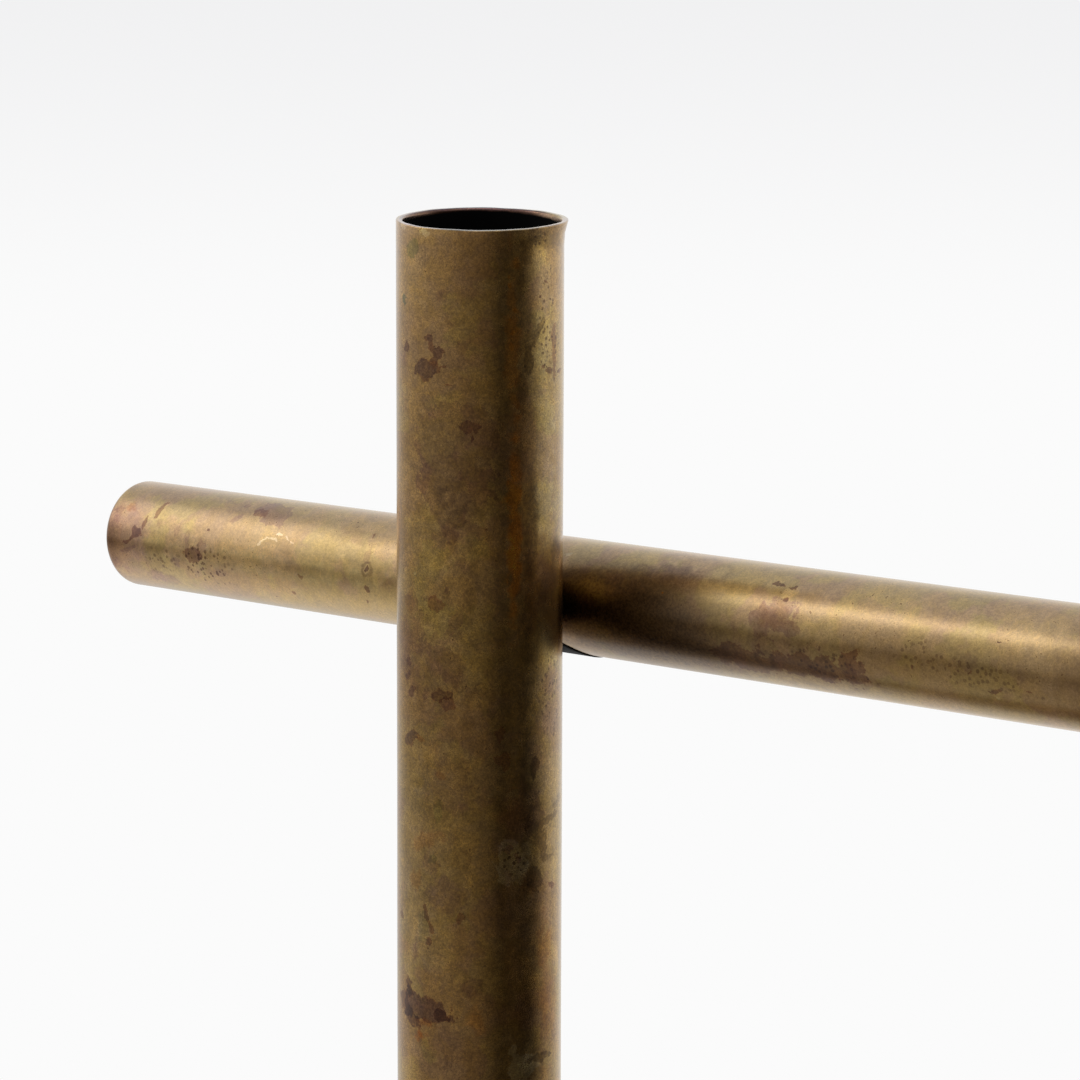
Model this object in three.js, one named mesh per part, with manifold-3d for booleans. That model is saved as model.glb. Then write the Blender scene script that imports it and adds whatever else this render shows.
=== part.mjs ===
// Candle holder: a free-standing cross of two brass tubes on a round plate.
// Millimetres, +Z up. The origin is on the post's axis, on the surface that the holder stands on.
// +X runs along the cross bar and +Y points from the post to the bar, which lies behind it.

import * as THREE from 'three';
import { mergeVertices } from 'three/addons/utils/BufferGeometryUtils.js';
import Module from 'manifold-3d';

const wasm = await Module();
wasm.setup();

// Driving dimensions
const POST_RADIUS = 12.7;
const POST_WALL = 1.0;
const RIM_HEIGHT = 250;
const BAR_RADIUS = 9;
const BAR_WALL = 1.0;
const BAR_HEIGHT = 190;
const BAR_LEFT = -98;
const BAR_RIGHT = 102.5;
const PAD_THICKNESS = 1.5;
const PAD_RADIUS = 56;
const PLATE_THICKNESS = 6;
const PLATE_RADIUS = 60;
const PLATE_ROUND = 1.6;
const PLATE_CHAMFER = 0.5;
const CANDLE_DEPTH = 30;

// Gaps: between curved faces that meet, round a shank in its hole, round the base screw,
// and where the two tubes touch
const CURVED_GAP = 0.3;
const HOLE_GAP = 0.2;
const SCREW_GAP = 0.4;
const TANGENT_GAP = 0.1;

// How far a cutting shape reaches past the face that it cuts
const OVERSHOOT = 1;

// The rim was sawn by hand: its plane leans towards the front left, and its right side is bent outwards
const RIM_LEAN = 0.072;
const RIM_LOW_SIDE = THREE.MathUtils.degToRad(-49);
const FLARE_OUT = 0.6;
const FLARE_DEPTH = 5.5;
const FLARE_SIDE = THREE.MathUtils.degToRad(41);
const FLARE_RINGS = [1, 0.6, 0.3];
const LIP_RADIUS = 0.35;

// Joint between the post and the bar, along +Y at the bar's height
const BOLT_RADIUS = 2.5;
const BOLT_HEAD_RADIUS = 5.5;
const BOLT_HEAD_HEIGHT = 3;
const BOLT_NECK = 5.4;
const BOLT_LENGTH = 16;
const POST_SADDLE_FACE = 8.2;
const POST_SADDLE_SIZE = 12;
const BAR_SADDLE_FACE = 16.6;
const BAR_SADDLE_SIZE = 9;
const LOCK_WASHER_RADIUS = 4.6;
const LOCK_WASHER_THICKNESS = 1.2;
const LOCK_WASHER_SPLIT = 0.8;
const NUT_FLATS = 8;
const NUT_THICKNESS = 4;

// Round hole in the bar's underside for the spanner, and its plug
const ACCESS_RADIUS = 7.1;
const ACCESS_PLUG_RADIUS = 6.9;
const ACCESS_PLUG_HEIGHT = 4;
const ACCESS_PLUG_PROUD = 0.2;

// Plugs, stop and base screw
const END_PLUG_LENGTH = 6;
const END_PLUG_SINK = 0.3;
const END_PLUG_DOME = 0.6;
const STOP_THICKNESS = 0.8;
const STOP_SKIRT = 8;
const FOOT_PLUG_LENGTH = 14;
const BASE_SCREW_RADIUS = 3;
const BASE_SCREW_HEAD_RADIUS = 6;
const BASE_SCREW_CONE = 3.3;
const BASE_SCREW_LENGTH = 16;
const BASE_SCREW_SINK = 0.3;
const SOCKET_RADIUS = 2;
const SOCKET_DEPTH = 2;

// Facets of the round pieces
const POST_FACETS = 64;
const BAR_FACETS = 48;
const PLATE_FACETS = 72;
const SMALL_FACETS = 24;
const HEXAGON = 6;
const ROUND_STEPS = 3;

// Derived places
const POST_BORE = POST_RADIUS - POST_WALL;
const BAR_BORE = BAR_RADIUS - BAR_WALL;
const BAR_BACK = POST_RADIUS + TANGENT_GAP + BAR_RADIUS;
const PLATE_TOP = PAD_THICKNESS + PLATE_THICKNESS;
const STOP_TOP = RIM_HEIGHT - CANDLE_DEPTH;

function finish(color, roughness, metalness) {
  return new THREE.MeshStandardMaterial({ color, roughness, metalness });
}

const agedBrass = () => finish(0x8f7746, 0.38, 1);
const darkBrass = () => finish(0x5f4c2c, 0.5, 1);
const zincSteel = () => finish(0x9ea2a6, 0.4, 1);
const blackPlastic = () => finish(0x141316, 0.5, 0);
const blackRubber = () => finish(0x1c1b1a, 0.85, 0);

// A closed mesh as a solid, for joining and cutting
function solid(geometry) {
  const bare = geometry.clone();
  bare.deleteAttribute('normal');
  bare.deleteAttribute('uv');
  const merged = mergeVertices(bare, 1e-4);
  const corners = merged.index.array;
  const kept = [];
  for (let i = 0; i < corners.length; i += 3) {
    const [a, b, c] = [corners[i], corners[i + 1], corners[i + 2]];
    if (a !== b && b !== c && c !== a) {
      kept.push(a, b, c);
    }
  }
  const vertProperties = new Float32Array(merged.attributes.position.array);
  return new wasm.Manifold(new wasm.Mesh({ numProp: 3, vertProperties, triVerts: new Uint32Array(kept) }));
}

// A solid back as a mesh geometry
function geometryOf(body) {
  const mesh = body.getMesh();
  const geometry = new THREE.BufferGeometry();
  geometry.setAttribute('position', new THREE.BufferAttribute(mesh.vertProperties, mesh.numProp));
  geometry.setIndex(new THREE.BufferAttribute(mesh.triVerts, 1));
  geometry.computeVertexNormals();
  return geometry;
}

// A profile of [radius, height] points turned round the Z axis
function turned(profile, facets) {
  const points = profile.map(([radius, height]) => new THREE.Vector2(radius, height));
  return new THREE.LatheGeometry(points, facets).rotateX(Math.PI / 2);
}

// Turns a geometry made along Z to lie along +X or +Y
const alongX = (geometry) => geometry.rotateY(Math.PI / 2);
const alongY = (geometry) => geometry.rotateX(-Math.PI / 2);

function cylinder(radius, from, to, facets = SMALL_FACETS) {
  return turned([[0, from], [radius, from], [radius, to], [0, to]], facets);
}

// A shallow dome's profile, from its top on the axis out to its edge
function dome(radius, rise) {
  const shares = Array.from({ length: ROUND_STEPS + 1 }, (_, step) => step / ROUND_STEPS);
  return shares.map((share) => [radius * share, rise * (1 - share ** 2)]);
}

// A tube's profile with rounded lips at both ends and extra rings near its far end
function tubeProfile(inner, outer, from, to, lip, rings = []) {
  const corner = lip * (1 - Math.SQRT1_2);
  return [
    [outer, from + lip],
    ...rings.map((height) => [outer, height]),
    [outer, to - lip],
    [outer - corner, to - corner],
    [outer - lip, to],
    [inner + lip, to],
    [inner + corner, to - corner],
    [inner, to - lip],
    ...rings.toReversed().map((height) => [inner, height]),
    [inner, from + lip],
    [inner + lip, from],
    [outer - lip, from],
    [outer, from + lip],
  ];
}

// Leans the rim's plane and bends its right side outwards, fading to nothing below it
function shapeRim(geometry) {
  const position = geometry.attributes.position;
  for (let i = 0; i < position.count; i += 1) {
    const [x, y, z] = [position.getX(i), position.getY(i), position.getZ(i)];
    const nearness = Math.max(0, (z - RIM_HEIGHT + FLARE_DEPTH) / FLARE_DEPTH);
    const angle = Math.atan2(y, x);
    const facing = Math.max(0, Math.cos(angle - FLARE_SIDE));
    const stretch = 1 + (FLARE_OUT * facing ** 2 * nearness ** 2) / POST_RADIUS;
    const drop = RIM_LEAN * (x * Math.cos(RIM_LOW_SIDE) + y * Math.sin(RIM_LOW_SIDE));
    position.setXYZ(i, x * stretch, y * stretch, z - drop * nearness);
  }
  return geometry;
}

function postTube() {
  const rings = FLARE_RINGS.map((share) => RIM_HEIGHT - FLARE_DEPTH * share);
  const profile = tubeProfile(POST_BORE, POST_RADIUS, PLATE_TOP, RIM_HEIGHT, LIP_RADIUS, rings);
  const tube = solid(shapeRim(turned(profile, POST_FACETS)));
  const hole = alongY(cylinder(BOLT_RADIUS + HOLE_GAP, 0, BAR_BACK)).translate(0, 0, BAR_HEIGHT);
  return geometryOf(tube.subtract(solid(hole)));
}

function crossBar() {
  const profile = tubeProfile(BAR_BORE, BAR_RADIUS, BAR_LEFT, BAR_RIGHT, LIP_RADIUS);
  const tube = solid(alongX(turned(profile, BAR_FACETS)).translate(0, BAR_BACK, BAR_HEIGHT));
  const bolt = alongY(cylinder(BOLT_RADIUS + HOLE_GAP, 0, BAR_BACK)).translate(0, 0, BAR_HEIGHT);
  const access = cylinder(ACCESS_RADIUS, -2 * BAR_RADIUS, 0, BAR_FACETS).translate(0, BAR_BACK, BAR_HEIGHT);
  return geometryOf(tube.subtract(solid(bolt)).subtract(solid(access)));
}

// A brass plug whose slightly domed face is just inside the bar's end. It is made along +X, face outwards.
function endPlug(end, side) {
  const radius = BAR_BORE - CURVED_GAP;
  const face = dome(radius, END_PLUG_DOME).map(([across, along]) => [across, along - END_PLUG_DOME]);
  const profile = [
    [0, -END_PLUG_LENGTH],
    [radius, -END_PLUG_LENGTH],
    ...face.toReversed(),
  ];
  const plug = alongX(turned(profile, BAR_FACETS));
  if (side < 0) {
    plug.rotateZ(Math.PI);
  }
  return plug.translate(end - side * END_PLUG_SINK, BAR_BACK, BAR_HEIGHT);
}

// The short black cylinder in the underside hole. Its lower face follows the bar, a little proud of it.
function accessPlug() {
  const face = BAR_RADIUS + ACCESS_PLUG_PROUD;
  const disc = solid(cylinder(ACCESS_PLUG_RADIUS, -face - OVERSHOOT, ACCESS_PLUG_HEIGHT - face, BAR_FACETS));
  const curve = solid(alongX(cylinder(face, -ACCESS_RADIUS, ACCESS_RADIUS, BAR_FACETS)));
  return geometryOf(disc.intersect(curve)).translate(0, BAR_BACK, BAR_HEIGHT);
}

// A pressed cup with its skirt down, a loose fit in the post's bore
function candleStop() {
  const radius = POST_BORE - CURVED_GAP;
  const profile = [
    [0, STOP_TOP - STOP_THICKNESS],
    [radius - STOP_THICKNESS, STOP_TOP - STOP_THICKNESS],
    [radius - STOP_THICKNESS, STOP_TOP - STOP_SKIRT],
    [radius, STOP_TOP - STOP_SKIRT],
    [radius, STOP_TOP - STOP_THICKNESS],
    [radius - STOP_THICKNESS, STOP_TOP],
    [0, STOP_TOP],
  ];
  return turned(profile, BAR_FACETS);
}

// Domed head, square neck and shank. The head's flat side lies against the post's saddle washer.
function jointBolt() {
  const profile = [
    ...dome(BOLT_HEAD_RADIUS, BOLT_HEAD_HEIGHT).map(([across, along]) => [across, -along]),
    [BOLT_RADIUS, 0],
    [BOLT_RADIUS, BOLT_LENGTH],
    [0, BOLT_LENGTH],
  ];
  const neckLength = POST_BORE - POST_SADDLE_FACE - CURVED_GAP * 2;
  const neck = new THREE.BoxGeometry(BOLT_NECK, BOLT_NECK, neckLength + OVERSHOOT);
  neck.translate(0, 0, (neckLength - OVERSHOOT) / 2);
  const bolt = solid(turned(profile, SMALL_FACETS)).add(solid(neck));
  return alongY(geometryOf(bolt)).translate(0, POST_SADDLE_FACE, BAR_HEIGHT);
}

// A block between a flat face for the bolt and a curved face that follows the post's bore
function postSaddleWasher() {
  const size = POST_SADDLE_SIZE;
  const depth = POST_BORE;
  const hole = BOLT_NECK + 2 * HOLE_GAP;
  const block = new THREE.BoxGeometry(size, depth, size);
  block.translate(0, POST_SADDLE_FACE + depth / 2, BAR_HEIGHT);
  const bore = cylinder(POST_BORE - CURVED_GAP, -size, size, POST_FACETS).translate(0, 0, BAR_HEIGHT);
  const neck = new THREE.BoxGeometry(hole, 3 * depth, hole).translate(0, depth, BAR_HEIGHT);
  return geometryOf(solid(block).intersect(solid(bore)).subtract(solid(neck)));
}

// A block between a curved face that follows the bar's bore and a flat face for the nut
function barSaddleWasher() {
  const size = BAR_SADDLE_SIZE;
  const block = new THREE.BoxGeometry(size, size, size);
  block.translate(0, BAR_SADDLE_FACE - size / 2, BAR_HEIGHT);
  const bore = alongX(cylinder(BAR_BORE - CURVED_GAP, -size, size, BAR_FACETS));
  bore.translate(0, BAR_BACK, BAR_HEIGHT);
  const hole = alongY(cylinder(BOLT_RADIUS + HOLE_GAP, 0, BAR_BACK)).translate(0, 0, BAR_HEIGHT);
  return geometryOf(solid(block).intersect(solid(bore)).subtract(solid(hole)));
}

// A ring with a narrow split at its top
function jointLockWasher() {
  const ring = turned([
    [BOLT_RADIUS + HOLE_GAP, 0],
    [LOCK_WASHER_RADIUS, 0],
    [LOCK_WASHER_RADIUS, LOCK_WASHER_THICKNESS],
    [BOLT_RADIUS + HOLE_GAP, LOCK_WASHER_THICKNESS],
    [BOLT_RADIUS + HOLE_GAP, 0],
  ], SMALL_FACETS);
  const split = new THREE.BoxGeometry(LOCK_WASHER_SPLIT, LOCK_WASHER_RADIUS * 2, LOCK_WASHER_THICKNESS * 3);
  split.translate(0, -LOCK_WASHER_RADIUS, 0);
  const washer = geometryOf(solid(ring).subtract(solid(split)));
  return alongY(washer).translate(0, BAR_SADDLE_FACE, BAR_HEIGHT);
}

function jointNut() {
  const corner = NUT_FLATS / Math.sqrt(3);
  const hexagon = solid(cylinder(corner, 0, NUT_THICKNESS, HEXAGON));
  const hole = solid(cylinder(BOLT_RADIUS + HOLE_GAP, -OVERSHOOT, NUT_THICKNESS + OVERSHOOT));
  const nut = geometryOf(hexagon.subtract(hole));
  return alongY(nut).translate(0, BAR_SADDLE_FACE + LOCK_WASHER_THICKNESS, BAR_HEIGHT);
}

// A thick brass ring in the post's lower end, threaded for the base screw
function footPlug() {
  const inner = BASE_SCREW_RADIUS + HOLE_GAP;
  const outer = POST_BORE - CURVED_GAP;
  return turned([
    [inner, PLATE_TOP],
    [outer, PLATE_TOP],
    [outer, PLATE_TOP + FOOT_PLUG_LENGTH],
    [inner, PLATE_TOP + FOOT_PLUG_LENGTH],
    [inner, PLATE_TOP],
  ], BAR_FACETS);
}

// A disc with a rounded upper edge and a countersunk hole from below
function basePlate() {
  const low = PAD_THICKNESS;
  const headHole = BASE_SCREW_HEAD_RADIUS + SCREW_GAP;
  const shankHole = BASE_SCREW_RADIUS + SCREW_GAP;
  const coneLow = low + BASE_SCREW_SINK;
  const arc = Array.from({ length: ROUND_STEPS + 1 }, (_, step) => {
    const angle = (step / ROUND_STEPS) * (Math.PI / 2);
    const across = PLATE_RADIUS - PLATE_ROUND * (1 - Math.cos(angle));
    return [across, PLATE_TOP - PLATE_ROUND * (1 - Math.sin(angle))];
  });
  return turned([
    [headHole, low],
    [PLATE_RADIUS - PLATE_CHAMFER, low],
    [PLATE_RADIUS, low + PLATE_CHAMFER],
    ...arc,
    [shankHole, PLATE_TOP],
    [shankHole, coneLow + BASE_SCREW_CONE],
    [headHole, coneLow],
    [headHole, low],
  ], PLATE_FACETS);
}

// Countersunk screw, head down, with a hexagon socket
function baseScrew() {
  const low = PAD_THICKNESS + BASE_SCREW_SINK;
  const screw = solid(turned([
    [0, low],
    [BASE_SCREW_HEAD_RADIUS, low],
    [BASE_SCREW_RADIUS, low + BASE_SCREW_CONE],
    [BASE_SCREW_RADIUS, low + BASE_SCREW_LENGTH],
    [0, low + BASE_SCREW_LENGTH],
  ], SMALL_FACETS));
  const socket = solid(cylinder(SOCKET_RADIUS, low - OVERSHOOT, low + SOCKET_DEPTH, HEXAGON));
  return geometryOf(screw.subtract(socket));
}

function basePad() {
  return cylinder(PAD_RADIUS, 0, PAD_THICKNESS, PLATE_FACETS);
}

function piece(name, geometry, material) {
  const mesh = new THREE.Mesh(geometry, material);
  mesh.name = name;
  return mesh;
}

const post = new THREE.Group();
post.add(piece('post_tube', postTube(), agedBrass()));
post.add(piece('candle_stop', candleStop(), darkBrass()));
post.add(piece('foot_plug', footPlug(), darkBrass()));

const bar = new THREE.Group();
bar.add(piece('cross_bar', crossBar(), agedBrass()));
bar.add(piece('bar_end_plug_left', endPlug(BAR_LEFT, -1), agedBrass()));
bar.add(piece('bar_end_plug_right', endPlug(BAR_RIGHT, 1), agedBrass()));
bar.add(piece('access_plug', accessPlug(), blackPlastic()));

const joint = new THREE.Group();
joint.add(piece('joint_bolt', jointBolt(), zincSteel()));
joint.add(piece('post_saddle_washer', postSaddleWasher(), zincSteel()));
joint.add(piece('bar_saddle_washer', barSaddleWasher(), zincSteel()));
joint.add(piece('joint_lock_washer', jointLockWasher(), zincSteel()));
joint.add(piece('joint_nut', jointNut(), zincSteel()));

const base = new THREE.Group();
base.add(piece('base_plate', basePlate(), agedBrass()));
base.add(piece('base_screw', baseScrew(), zincSteel()));
base.add(piece('base_pad', basePad(), blackRubber()));

const candleHolder = new THREE.Group();
candleHolder.add(post, bar, joint, base);

export default candleHolder;
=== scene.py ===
"""Candle holder: a free-standing cross of two aged brass tubes on a round plate.

Metres, +Z up. +X runs along the cross bar, and +Y points from the post to the bar that lies behind it.
Eight pieces are made anew with finer forms, to the sizes of the frame's solids. The other seven keep them.
"""

import math

import bmesh
import bpy
from mathutils import Matrix, Vector


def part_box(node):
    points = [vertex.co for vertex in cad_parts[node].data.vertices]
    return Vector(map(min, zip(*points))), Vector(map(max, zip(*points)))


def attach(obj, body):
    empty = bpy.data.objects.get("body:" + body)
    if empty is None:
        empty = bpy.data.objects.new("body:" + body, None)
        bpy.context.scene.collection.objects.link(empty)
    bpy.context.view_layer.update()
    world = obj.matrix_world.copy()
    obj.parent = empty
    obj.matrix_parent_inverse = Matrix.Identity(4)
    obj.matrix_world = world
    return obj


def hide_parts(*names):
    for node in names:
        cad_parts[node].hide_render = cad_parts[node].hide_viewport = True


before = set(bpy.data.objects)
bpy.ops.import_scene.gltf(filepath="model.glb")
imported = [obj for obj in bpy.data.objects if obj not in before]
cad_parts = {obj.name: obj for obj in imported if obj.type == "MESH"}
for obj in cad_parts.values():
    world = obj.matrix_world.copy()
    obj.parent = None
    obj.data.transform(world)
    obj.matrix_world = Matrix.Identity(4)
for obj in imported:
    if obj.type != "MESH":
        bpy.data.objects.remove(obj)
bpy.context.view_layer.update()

MM = 0.001

# Camera
CAMERA_PLACE = (0.39087, -0.43662, 0.28978)
CAMERA_AZIMUTH = math.radians(40.94)
CAMERA_ELEVATION = math.radians(8.606)
CAMERA_ROLL = math.radians(0.201)
CAMERA_LENS = 129.71
SENSOR_WIDTH = 36
CAMERA_CLIP = 0.01, 20

# Places on the post are given round from the side that faces the camera
FRONT_ANGLE = CAMERA_AZIMUTH - math.pi / 2

# Sizes taken from the frame
POST_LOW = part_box("post_tube")[0]
BAR_LOW, BAR_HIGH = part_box("cross_bar")
POST_RADIUS = -POST_LOW.x
BAR_RADIUS = (BAR_HIGH.z - BAR_LOW.z) / 2
BAR_BACK = (BAR_LOW.y + BAR_HIGH.y) / 2
BAR_HEIGHT = (BAR_LOW.z + BAR_HIGH.z) / 2

# Walls, rim and holes of the two tubes
WALL = 1 * MM
TUBE_EDGE = 0.3 * MM
RIM_HEIGHT = 250 * MM
RIM_LEAN = 0.072
RIM_LOW_SIDE = math.radians(-49)
RIM_LEAN_DEPTH = 5.5 * MM
FLARE_OUT = 0.6 * MM
FLARE_DEPTH = 2.8 * MM
FLARE_SIDE = math.radians(41)
FLARE_NARROWNESS = 3
LIP_OUTSIDE = 0.2 * MM
LIP_INSIDE = 0.45 * MM
BORE_EDGE = POST_RADIUS - WALL + LIP_INSIDE
BAR_END_ROUND = 0.95 * MM
BAR_END_REACH = 1.3 * MM
BOLT_HOLE_RADIUS = 2.7 * MM
ACCESS_RADIUS = 7.1 * MM

# Waves of the rim: how many go round, phase and share. The drop keeps the rim within the frame's box.
RIM_WAVE = 0.015 * MM
RIM_WAVES = (5, 1, 1), (9, 0, 1), (17, 2, 0.6)
RIM_WAVE_DROP = 2.4

# Ripples of the post's wall: millimetres up the wall for each radian, how many go round and phase
WALL_RIPPLE = 0.012 * MM
WALL_RIPPLES = (9, 3, 0), (23, 2, 1)

# Softness of the small pieces' edges, and the wall of the candle's cup
PLATE_UNDERSIDE, PLATE_TOP = 0.5 * MM, 1.6 * MM
PAD_UNDERSIDE, PAD_TOP = 0.4 * MM, 0.2 * MM
ACCESS_PLUG_EDGE = 0.35 * MM
CUP_WALL = 0.8 * MM
CUP_INSIDE, CUP_SKIRT, CUP_SHOULDER = 0.8 * MM, 0.2 * MM, 1.4 * MM

# Dome of the bar's end plugs: where its shoulder lies as a share of the radius, depths below its top, and
# softness of its corners
DOME_SHOULDER = 0.6
DOME_SHOULDER_DEPTH = 0.22 * MM
DOME_DEPTH = 0.6 * MM
DOME_SHOULDER_SOFTNESS = 0.5 * MM
DOME_EDGE = 0.3 * MM

# Steps of the meshes
ROUND_STEPS = 288
SMALL_STEPS = 96
HOLE_STEPS = 48
CORNER_STEPS = 5
WALL_STEP = 2.5 * MM
RIM_STEP = 0.25 * MM
PLUG_STEP = 0.6 * MM
WELD_DISTANCE = 0.001 * MM
SHARP_ANGLE = math.radians(35)


def linked(obj):
    """Puts a new object into the scene."""
    bpy.context.scene.collection.objects.link(obj)
    return obj


def softened(corners):
    """A closed profile of (radius, height, softness) corners, each rounded over its softness."""
    points = []
    for i, (radius, height, softness) in enumerate(corners):
        here = Vector((radius, height))
        if softness == 0:
            points.append(here)
            continue
        before = Vector(corners[i - 1][:2]) - here
        after = Vector(corners[(i + 1) % len(corners)][:2]) - here
        first = here + before.normalized() * softness
        last = here + after.normalized() * softness
        for step in range(CORNER_STEPS + 1):
            share = step / CORNER_STEPS
            curve = first * (1 - share) ** 2 + here * 2 * share * (1 - share) + last * share ** 2
            points.append(curve)
    return points


def divided(points, longest, near_rim=None):
    """The same closed profile with extra points on its long sides, closer together above near_rim."""
    result = []
    for i, here in enumerate(points):
        after = points[(i + 1) % len(points)]
        step = RIM_STEP if near_rim and min(here.y, after.y) >= near_rim else longest
        pieces = max(1, math.ceil((after - here).length / step))
        result += [here.lerp(after, piece / pieces) for piece in range(pieces)]
    return result


def turned(name, profile, steps=ROUND_STEPS):
    """A profile turned round the Z axis, as a closed mesh object."""
    mesh = bmesh.new()
    rings = []
    for radius, height in profile:
        ring = []
        for step in range(steps):
            angle = 2 * math.pi * step / steps
            ring.append(mesh.verts.new((radius * math.cos(angle), radius * math.sin(angle), height)))
        rings.append(ring)
    for i, ring in enumerate(rings):
        after = rings[(i + 1) % len(rings)]
        for step in range(steps):
            beside = (step + 1) % steps
            mesh.faces.new((ring[step], ring[beside], after[beside], after[step]))
    bmesh.ops.remove_doubles(mesh, verts=mesh.verts, dist=WELD_DISTANCE)
    bmesh.ops.recalc_face_normals(mesh, faces=mesh.faces)
    data = bpy.data.meshes.new(name)
    mesh.to_mesh(data)
    mesh.free()
    return linked(bpy.data.objects.new(name, data))


def smoothed(obj):
    """Shades the mesh smoothly, apart from its sharp edges."""
    obj.data.shade_smooth()
    obj.data.set_sharp_from_angle(angle=SHARP_ANGLE)
    return obj


def cut(obj, cutters):
    """Cuts other objects out of a mesh and removes them."""
    for cutter in cutters:
        modifier = obj.modifiers.new("cut", "BOOLEAN")
        modifier.object = cutter
        modifier.solver = "EXACT"
    bpy.context.view_layer.update()
    evaluated = obj.evaluated_get(bpy.context.evaluated_depsgraph_get())
    data = bpy.data.meshes.new_from_object(evaluated)
    obj.modifiers.clear()
    obj.data = data
    for cutter in cutters:
        bpy.data.objects.remove(cutter)
    return obj


def along_x(obj):
    """Turns a mesh made round the Z axis to lie along the bar's axis."""
    turn = Matrix.Rotation(math.pi / 2, 4, "Y")
    obj.data.transform(Matrix.Translation((0, BAR_BACK, BAR_HEIGHT)) @ turn)
    return obj


def bolt_hole():
    """A cutter for the hole of the joint bolt, from the post's middle to the bar's."""
    hole = turned("bolt_hole", softened([
        (0, 0, 0),
        (BOLT_HOLE_RADIUS, 0, 0),
        (BOLT_HOLE_RADIUS, BAR_BACK, 0),
        (0, BAR_BACK, 0),
    ]), HOLE_STEPS)
    turn = Matrix.Rotation(-math.pi / 2, 4, "X")
    hole.data.transform(Matrix.Translation((0, 0, BAR_HEIGHT)) @ turn)
    return hole


def smooth_step(share):
    """A soft step from 0 to 1."""
    share = min(1, max(0, share))
    return share * share * (3 - 2 * share)


def shape_rim(place):
    """Leans the rim, bends its right side outwards, and makes its line and the wall a little uneven."""
    x, y, z = place
    angle = math.atan2(y, x)
    radius = math.hypot(x, y)
    nearness = max(0, (z - RIM_HEIGHT + RIM_LEAN_DEPTH) / RIM_LEAN_DEPTH)
    flare = smooth_step((z - RIM_HEIGHT + FLARE_DEPTH) / FLARE_DEPTH)
    facing = max(0, math.cos(angle - FLARE_SIDE))
    waves = sum(share * math.sin(count * angle + phase) for count, phase, share in RIM_WAVES)
    wave = RIM_WAVE * (waves - RIM_WAVE_DROP)
    up = z / MM
    ripples = sum(math.sin(up / length + count * angle + phase) for length, count, phase in WALL_RIPPLES)
    ripple = WALL_RIPPLE * (ripples - len(WALL_RIPPLES))
    drop = RIM_LEAN * radius * math.cos(angle - RIM_LOW_SIDE)
    radius += FLARE_OUT * facing ** FLARE_NARROWNESS * flare + ripple
    return radius * math.cos(angle), radius * math.sin(angle), z + (wave - drop) * nearness


def make_post():
    """The upright tube: thin wall, hand-cut leaning rim with a soft inner edge, and the bolt's hole."""
    inner = POST_RADIUS - WALL
    foot = POST_LOW.z
    collar = RIM_HEIGHT - 2 * FLARE_DEPTH
    profile = divided(softened([
        (POST_RADIUS, foot, TUBE_EDGE),
        (POST_RADIUS, collar, 0),
        (POST_RADIUS, RIM_HEIGHT, LIP_OUTSIDE),
        (inner, RIM_HEIGHT, LIP_INSIDE),
        (inner, collar, 0),
        (inner, foot, TUBE_EDGE),
    ]), WALL_STEP, collar)
    post = turned("post_with_rim", profile)
    for vertex in post.data.vertices:
        vertex.co = shape_rim(vertex.co)
    return smoothed(cut(post, [bolt_hole()]))


def worn_end(end, inward):
    """The outside of a tube end that wear has rounded, from the end towards the middle."""
    points = []
    for step in range(2 * CORNER_STEPS + 1):
        turn = math.pi / 2 * step / (2 * CORNER_STEPS)
        radius = BAR_RADIUS - BAR_END_ROUND * (1 - math.sin(turn))
        points.append(Vector((radius, end + inward * BAR_END_REACH * (1 - math.cos(turn)))))
    return points


def make_bar():
    """The level tube: rounded ends, the bolt's hole, and the round access hole in its underside."""
    inner = BAR_RADIUS - WALL
    outside = worn_end(BAR_LOW.x, 1) + worn_end(BAR_HIGH.x, -1)[::-1]
    profile = divided(outside + [Vector((inner, BAR_HIGH.x)), Vector((inner, BAR_LOW.x))], WALL_STEP)
    bar = along_x(turned("bar_with_access_hole", profile))
    access = turned("access_hole", softened([
        (0, -2 * BAR_RADIUS, 0),
        (ACCESS_RADIUS, -2 * BAR_RADIUS, 0),
        (ACCESS_RADIUS, 0, 0),
        (0, 0, 0),
    ]), SMALL_STEPS)
    access.data.transform(Matrix.Translation((0, BAR_BACK, BAR_HEIGHT)))
    return smoothed(cut(bar, [bolt_hole(), access]))


def make_round(name, node, corners):
    """A round piece that stands for a node. Its corners come from its radius and its two heights."""
    low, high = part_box(node)
    radius = (high.x - low.x) / 2
    middle = ((low.x + high.x) / 2, (low.y + high.y) / 2, 0)
    obj = turned(name, divided(softened(corners(radius, low.z, high.z)), WALL_STEP))
    obj.data.transform(Matrix.Translation(middle))
    return smoothed(obj)


def make_end_plug(name, node):
    """The brass disc that closes an end of the bar, a little domed on its outer side."""
    low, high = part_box(node)
    radius = (high.z - low.z) / 2
    length = high.x - low.x
    outline = softened([
        (0, 0, 0),
        (radius, 0, DOME_EDGE),
        (radius, length - DOME_DEPTH, DOME_EDGE),
        (radius * DOME_SHOULDER, length - DOME_SHOULDER_DEPTH, DOME_SHOULDER_SOFTNESS),
        (0, length, 0),
    ])
    plug = turned(name, outline, SMALL_STEPS)
    if high.x < 0:
        plug.data.transform(Matrix.Rotation(math.pi, 4, "X"))
        plug.data.transform(Matrix.Translation((0, 0, high.x)))
    else:
        plug.data.transform(Matrix.Translation((0, 0, low.x)))
    return smoothed(along_x(plug))


def plate_corners(radius, low, high):
    """The base plate: a disc with a well rounded upper edge."""
    return [(0, low, 0), (radius, low, PLATE_UNDERSIDE), (radius, high, PLATE_TOP), (0, high, 0)]


def pad_corners(radius, low, high):
    """The rubber pad: a thin disc."""
    return [(0, low, 0), (radius, low, PAD_UNDERSIDE), (radius, high, PAD_TOP), (0, high, 0)]


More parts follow.
